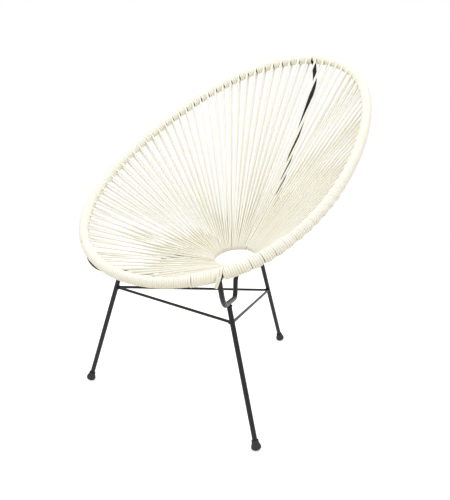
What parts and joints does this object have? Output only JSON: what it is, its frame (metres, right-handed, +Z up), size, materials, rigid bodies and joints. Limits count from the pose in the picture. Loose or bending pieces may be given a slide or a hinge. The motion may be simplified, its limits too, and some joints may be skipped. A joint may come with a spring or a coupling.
{
  "type": "acapulco chair",
  "caption": "Patio lounge chair: a tilted egg-shaped steel hoop laced with round vinyl cord down to a small seat ring, on splayed rod legs tied by thin rods, with rubber foot caps.",
  "frame": {"origin": "on the ground, at the middle of the whole chair's outline", "axes": "+Z up, +Y towards the back of the chair, +X to the right as seen by someone facing the chair's front"},
  "size_m": [0.6854, 0.825, 0.8689],
  "materials": {
    "powder_coat": "satin black powder coat on bent steel tube and rod",
    "foot_rubber": "matt black moulded rubber",
    "cord": "ivory vinyl cord with a soft sheen"
  },
  "bodies": {
    "root": {"hoop": "powder_coat", "seat_ring": "powder_coat", "back_spine": "powder_coat", "seat_support_right": "powder_coat", "seat_support_left": "powder_coat", "front_leg_right": "powder_coat", "front_leg_left": "powder_coat", "rear_leg": "powder_coat", "tie_rod_front": "powder_coat", "tie_rod_right": "powder_coat", "tie_rod_left": "powder_coat", "foot_cap_front_right": "foot_rubber", "foot_cap_front_left": "foot_rubber", "foot_cap_rear": "foot_rubber", "cord_head_right": "cord", "cord_head_left": "cord", "cord_shoulder_right": "cord", "cord_shoulder_left": "cord", "cord_flank_right": "cord", "cord_flank_left": "cord", "cord_hip_right": "cord", "cord_hip_left": "cord", "cord_front_right": "cord", "cord_front_left": "cord"}
  },
  "joints": []
}
